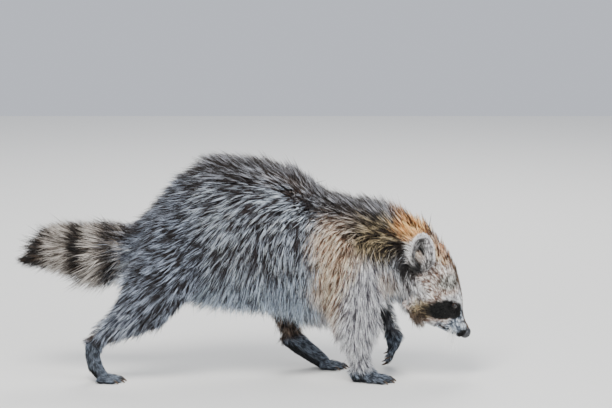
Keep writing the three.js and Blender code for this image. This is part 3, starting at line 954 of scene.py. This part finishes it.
def coat_pieces(coat, layer):
    """Meshes of the tufts region by region, each under the limit of triangles."""
    owner = coat.share.argmax(1)
    for region, (groups, axis) in COAT_REGIONS.items():
        rows = np.flatnonzero(np.isin(owner, [GROUP[name] for name in groups]))
        if not len(rows):
            continue
        spots = np.zeros((len(owner), 2))
        spots[rows] = unwrapped(coat.root[rows], axis)
        parts = math.ceil(len(rows) * TUFT_TRIANGLES / PIECE_TRIANGLES)
        for number, part in enumerate(np.array_split(random.permutation(rows), parts), 1):
            name = f"coat_{region}_{layer}_{number}"
            yield region, new_object(name, tuft_mesh(name, coat, part, spots))


# ---- materials ----

# Each material: how dark and how light its colour goes and at what scale, its roughness and specular
# level, the bump's scale, detail, strength and distance, and what else its shader takes.
MATERIALS = {
    "fur": ((0.86, 1.14, 90), (0.5, 0.3), None, dict(Sheen_Weight=0.05, Sheen_Roughness=0.4)),
    "skin": ((0.75, 1.2, 260), (0.75, 0.25), (900, 4, 0.6, 0.0006), {}),
    "eye": ((0.7, 1.3, 900), (0.05, 0.3), None, dict(Coat_Weight=0.3, Coat_Roughness=0.02)),
    "nose": ((0.8, 1.2, 700), (0.33, 0.55), (1500, 2, 0.5, 0.0003),
             dict(Coat_Weight=0.25, Coat_Roughness=0.25)),
    "claw": ((0.7, 1.3, 500), (0.32, 0.5), (1200, 3, 0.25, 0.0002), {}),
}


def assign(node, values):
    """Sets a node's inputs, by names with _ for each space."""
    for key, value in values.items():
        node.inputs[key.replace("_", " ")].default_value = value
    return node


class Nodes:
    """A material's nodes, round its Principled shader."""

    def __init__(self, name, **values):
        self.material = bpy.data.materials.new(name)
        self.material.use_nodes = True
        self.tree = self.material.node_tree
        self.shader = assign(self.tree.nodes["Principled BSDF"], values)

    def add(self, kind, **inputs):
        return assign(self.tree.nodes.new(f"ShaderNode{kind}"), inputs)

    def link(self, start, end):
        self.tree.links.new(start, end)

    def noise(self, scale, detail=3.0):
        node = self.add("TexNoise", Scale=scale, Detail=detail, Roughness=0.55)
        self.link(self.add("TexCoord").outputs["Object"], node.inputs["Vector"])
        return node.outputs["Fac"]

    def bump(self, scale, detail, strength, distance):
        node = self.add("Bump", Strength=strength, Distance=distance)
        self.link(self.noise(scale, detail), node.inputs["Height"])
        self.link(node.outputs["Normal"], self.shader.inputs["Normal"])


def tinted(name):
    """A material with the painted colours, a little lighter and darker from place to place."""
    (low, high, scale), (roughness, specular), bump, values = MATERIALS[name]
    nodes = Nodes(name, Roughness=roughness, Specular_IOR_Level=specular, **values)
    tint = nodes.add("VertexColor")
    tint.layer_name = "Tint"
    span = nodes.add("MapRange", From_Min=0.3, From_Max=0.7, To_Min=low, To_Max=high)
    nodes.link(nodes.noise(scale), span.inputs["Value"])
    scaled = nodes.add("VectorMath")
    scaled.operation = "SCALE"
    nodes.link(tint.outputs["Color"], scaled.inputs[0])
    nodes.link(span.outputs["Result"], scaled.inputs["Scale"])
    nodes.link(scaled.outputs["Vector"], nodes.shader.inputs["Base Color"])
    if bump:
        nodes.bump(*bump)
    return nodes.material


# ---- eyes, nose, claws and whiskers ----

CORNEA, IRIS, PUPIL = 0.95, 0.82, 0.5  # how far each reaches from the gaze, in radians
CORNEA_BULGE = 0.07  # as a share of the eyeball's radius
NOSE_HALVES = (9.4, 8.9, 8.3)  # aside, dorsal and ahead, in millimetres
ALONG = np.linspace(0, 1, 9)  # the rings of a claw or a whisker
CLAW_HALVES = (1.35, 2.0)  # at its base: across and high, in millimetres
WHISKERS = 15  # on each side of the muzzle
WHISKER_RADIUS = 0.4 * MM


def closed_form(start, rings, end):
    """Points and faces of a form round its rings, which ends in a point either way."""
    here = np.arange(len(rings[0]))
    there = (here + 1) % len(here)
    points = np.concatenate([[start], *rings, [end]])
    first, last = np.full_like(here, 0), np.full_like(here, len(points) - 1)
    faces = [(first, 1 + here, 1 + there)]
    for ring in range(1, len(rings)):
        a, b = 1 + (ring - 1) * len(here), 1 + ring * len(here)
        faces += [(a + here, b + here, b + there), (a + here, b + there, a + there)]
    b = 1 + (len(rings) - 1) * len(here)
    faces.append((b + there, b + here, last))
    return points, np.concatenate([np.stack(part, 1) for part in faces])


def ball(rows, columns):
    """The unit sphere about +Z, with a pole at each end."""
    down = np.linspace(0, math.pi, rows + 1)[1:-1]
    turn = np.linspace(0, 2 * math.pi, columns, endpoint=False)
    down, turn = np.meshgrid(down, turn, indexing="ij")
    rings = np.stack([np.sin(down) * np.cos(turn), np.sin(down) * np.sin(turn), np.cos(down)], -1)
    return closed_form([0, 0, 1], rings, [0, 0, -1])


def tube(line, halves, aside, above, around=8):
    """A form round a line, with a half width and a half height at each place, to a point."""
    turn = np.linspace(0, 2 * math.pi, around, endpoint=False)[:, None]
    rings = [
        place + wide * np.cos(turn) * aside + high * np.sin(turn) * above
        for place, (wide, high) in zip(line[:-1], halves)
    ]
    return closed_form(line[0], rings, line[-1])


def small_piece(name, points, faces, colours, material, nodes):
    """A piece of its own, with its normals outwards, in place of the nodes that it stands for."""
    a, b, c = (points[faces[:, i]] for i in range(3))
    if (np.cross(a, b) * c).sum() < 0:  # the faces' normals point inwards
        faces = faces[:, ::-1]
    mesh = new_mesh(name, points, faces)
    mesh.polygons.foreach_set("use_smooth", np.ones(len(faces), bool))
    paint_vertices(mesh, colours)
    mesh.materials.append(material)
    piece = new_object(name, mesh)
    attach(piece, "root")
    if nodes:
        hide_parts(*nodes)


def build_eye(side, material):
    """An eyeball with a bulging cornea over a brown iris and a round pupil."""
    gaze, corners, upward = eye_axes(side)
    points, faces = ball(40, 48)
    off_axis = np.arccos(np.clip(points[:, 2], -1, 1))
    bulge = CORNEA_BULGE * ramp(CORNEA, 0, off_axis)
    turned = points @ np.stack([corners, upward, gaze])
    places = EYES[side] + EYE_RADIUS * (1 + bulge)[:, None] * turned
    pupil, iris, rim = linear(["010101", "2c190b", "060403"])
    streaks = 0.75 + 0.5 * noise(points * [0.02, 0.02, 0], 0.9 * MM, 8)[:, None]
    share = ramp(PUPIL, PUPIL + 0.1, off_axis)[:, None]
    edge = ramp(IRIS - 0.1, IRIS + 0.05, off_axis)[:, None]
    colours = pupil * (1 - share) + iris * streaks * share * (1 - edge) + rim * edge
    small_piece(f"eyeball_{side}", places, faces, colours, material, [f"eye_{side}"])


def build_nose(material):
    """The leather of the nose, with a groove down its middle and a nostril on either side, darkened in them
    as painted shade.
    """
    points, faces = ball(56, 72)
    facing = unit(AHEAD + 0.25 * DORSAL)
    dorsal = unit(np.cross(facing, ASIDE))
    x, y, z = points.T  # aside, dorsal, ahead
    dent = 0.1 * np.exp(-(x / 0.07) ** 2) * ramp(-0.2, 0.3, z) * ramp(0.55, 0.1, y)
    for side in (-1, 1):
        nostril = np.hypot((side * x - 0.4 + 0.3 * (y + 0.05)) / 0.2, (y + 0.02) / 0.17)
        dent += 0.34 * ramp(1.15, 0.45, nostril) * (z > 0)
        slit = np.hypot((side * x - 0.68) / 0.26, (y + 0.16 - 0.25 * (side * x - 0.6)) / 0.07)
        dent += 0.16 * ramp(1.2, 0.5, slit) * (z > -0.2)
    shaped = MM * points * NOSE_HALVES * (1 - dent)[:, None]
    places = middle("nose") + shaped @ np.stack([ASIDE, dorsal, facing])
    # Painted shade: the leather goes darker with the depth of each dent, in the groove and the nostrils.
    leather, deep = linear(["1b1c21", "050506"])
    colours = leather + (deep - leather) * np.clip(dent / 0.25, 0, 1)[:, None]
    small_piece("nose_pad", places, faces, colours, material, ["nose"])


def build_claw(node, material):
    """A curved, narrow claw along the solid's own length, deeper than it is wide."""
    net = Net(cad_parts[node].data)
    centre = net.points.mean(0)
    _, _, axes = np.linalg.svd(net.points - centre)
    along = axes[0]
    reach = (net.points - centre) @ along
    wide_end = np.abs(net.points - centre - reach[:, None] * along).sum(1)
    if wide_end[reach > 0].mean() > wide_end[reach < 0].mean():
        along, reach = -along, -reach
    base, tip = centre + reach.min() * along, net.points[reach.argmax()]
    lifted = node.startswith("foreleg_left")
    upward = np.array([1.0, 0, 0.3]) if lifted else np.array([0, 0, 1.0])
    upward = unit(upward - (upward @ along) * along)
    length = norm(tip - base)
    start = base - 0.22 * length * along
    bow = 0.16 * length * np.sin(math.pi * ALONG ** 0.8)
    line = start + ALONG[:, None] * (tip - start) + bow[:, None] * upward
    taper = np.sqrt(np.maximum(1 - ALONG ** 1.6, 0))
    points, faces = tube(line, np.outer(taper, CLAW_HALVES) * MM, np.cross(along, upward), upward)
    points[:, 2] = np.maximum(points[:, 2], 0)
    dark, horn = linear(["17110d", "5c4a3a"])
    share = ramp(0.35, 1, (points - start) @ along / length)[:, None]
    colours = dark + (horn - dark) * share
    small_piece(f"horn_{node}", points, faces, colours, material, [node])


def build_whiskers(skin, material):
    """Long white whiskers that droop from the muzzle, and a few over the eyes."""
    tree = BVHTree.FromPolygons(skin.net.points.tolist(), skin.net.faces.tolist())
    forms = []
    rows = [divmod(i, 5) for i in range(WHISKERS)]
    roots = [(22 + 3.4 * place + 1.2 * row, -25 - 3.2 * row) for row, place in rows]
    roots += [(-6, 4), (-10, 3)]  # over the eye
    for side in (-1, 1):
        for number, (ahead, dorsal) in enumerate(roots):
            outer = Vector(from_head(ahead, side * 60, dorsal))
            hit = tree.ray_cast(outer, Vector(-side * ASIDE), 0.1)[0]
            if hit is None:
                continue
            long = number < WHISKERS
            length = MM * (random.uniform(36, 60) if long else random.uniform(18, 28))
            way = side * random.uniform(0.5, 0.8) * ASIDE - 0.15 * AHEAD + random.normal(0, 0.08, 3)
            way = unit(way + (0.25 * DORSAL if not long else 0))
            drop = random.uniform(1.1, 1.6) if long else 0.5
            line = [np.array(hit) - 0.8 * MM * way]
            for step in ALONG[1:]:
                bent = unit(way + np.array([0.05, 0, -drop]) * step ** 0.6)
                line.append(line[-1] + length * ALONG[1] * bent)
            line = np.array(line)
            line[:, 2] = np.maximum(line[:, 2], COAT_FLOOR)
            radius = WHISKER_RADIUS * (1 if long else 0.6) * (1 - 0.85 * ALONG)
            first = unit(np.cross(way, [0, 0, 1.0]))
            halves = np.stack([radius, radius], 1)
            forms.append(tube(line, halves, first, unit(np.cross(first, way)), 4))
    points, faces = joined(forms)
    colours = np.tile(linear(["f4f3ef"]), (len(points), 1))
    small_piece("whiskers", points, faces, colours, material, [])


# ---- stage ----

FLOOR = [[-3, -3, 0], [3, -3, 0], [3, 3, 0], [-3, 3, 0]]
SKY, SKY_STRENGTH = (0.86, 0.9, 1.0, 1), 0.75
LAMP_TARGET = (0, 0, 0.18)
LAMPS = {
    # name: place, size, watts, colour
    "key": ((-0.5, -1.6, 2.4), 1.2, 88, (1.0, 0.97, 0.92)),
    "fill": ((1.8, -1.8, 1.0), 1.6, 40, (0.92, 0.96, 1.0)),
    "rim": ((0.3, 1.8, 1.9), 1.2, 42, (1.0, 0.98, 0.94)),
    "eye_light": ((-0.6, -2.2, 0.9), 0.3, 9, (1.0, 1.0, 1.0)),
}


def build_stage():
    floor = new_object("floor", new_mesh("floor", np.array(FLOOR, float), np.array([[0, 1, 2, 3]])))
    nodes = Nodes("floor", Base_Color=(0.78, 0.78, 0.76, 1), Roughness=0.85)
    nodes.bump(8, 3, 0.05, 0.002)
    floor.data.materials.append(nodes.material)
    floor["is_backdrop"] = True
    world = bpy.data.worlds.new("studio")
    world.use_nodes = True
    assign(world.node_tree.nodes["Background"], dict(Color=SKY, Strength=SKY_STRENGTH))
    bpy.context.scene.world = world


def aimed(name, data, place, target):
    """A lamp or a camera, turned to its target."""
    piece = new_object(name, data)
    piece.location = place
    piece.rotation_euler = (Vector(target) - Vector(place)).to_track_quat("-Z", "Y").to_euler()
    return piece


def build_lamps():
    for name, (place, size, watts, colour) in LAMPS.items():
        data = bpy.data.lights.new(name, "AREA")
        data.size, data.energy, data.color = size, watts, colour
        aimed(name, data, place, LAMP_TARGET)


def build_camera():
    data = bpy.data.cameras.new("camera")
    data.sensor_width = SENSOR
    data.lens = SENSOR * CAMERA_DISTANCE / (PHOTO[0] * PIXEL)
    target = Vector((
        (PHOTO[0] / 2 - FRAME_ORIGIN[0]) * PIXEL, 0,
        (FRAME_ORIGIN[1] - PHOTO[1] / 2) * PIXEL / math.cos(CAMERA_RISE),
    ))
    back = Vector((0, -math.cos(CAMERA_RISE), math.sin(CAMERA_RISE)))
    camera = aimed("camera", data, target + CAMERA_DISTANCE * back, target)
    bpy.context.scene.camera = camera


# ---- assembly ----

build_stage()
build_lamps()
build_camera()

skin = Skin()
skin_piece = new_object("skin", skin.mesh)
skin_pelts = pelts_at(skin.net.points, skin.net.normals(), skin.share)
skin_colours = np.einsum("np,pkc->nkc", skin_pelts, PELT_COLOURS)
bare = 0.55 * ramp(9 * MM, 1 * MM, skin.reach)[:, None] + 0.15
paint_vertices(skin.mesh, (1 - bare) * skin_colours[:, 0] + bare * skin_colours[:, 1])
skin.mesh.materials.append(tinted("skin"))
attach(skin_piece, "root")
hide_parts(*FLESH)

on_paws = skin.share[:, PAWS].sum(1)
on_head, on_ears = skin.share[:, GROUP["head"]], skin.share[:, GROUP["ears"]]
long_coat = np.clip(1 - on_paws - on_head - on_ears, 0, 1)
face_density = 1.9e6 / (1 + 0.25 * skin.reach / MM) ** 1.3
short_coat = face_density * on_head + 0.9e6 * on_ears + 0.5e6 * on_paws
layers = {
    # tufts for each square metre, tufts in a lock and how far it draws them together
    "guard": dict(per_area=0.27e6 * long_coat, lock=5, pull=0.74, longer=1.04, wider=0.55),
    "under": dict(per_area=0.14e6 * long_coat, lock=5, pull=0.3, longer=0.72, wider=1.3, deep=True),
    "short": dict(per_area=short_coat, lock=6, pull=0.6),
}
fur = tinted("fur")
for layer, settings in layers.items():
    coat = Coat(skin, **settings)
    for region, piece in coat_pieces(coat, layer):
        piece.data.materials.append(fur)
        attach(piece, "root")
        SLOTS.get(region, "coat")

eye_gloss, horn = tinted("eye"), tinted("claw")
for side in EYES:
    build_eye(side, eye_gloss)
build_nose(tinted("nose"))
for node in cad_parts:
    if "claw" in node:
        build_claw(node, horn)
build_whiskers(skin, horn)

both = [[list(corner) for corner in box] for box in (CAD_BOX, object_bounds())]
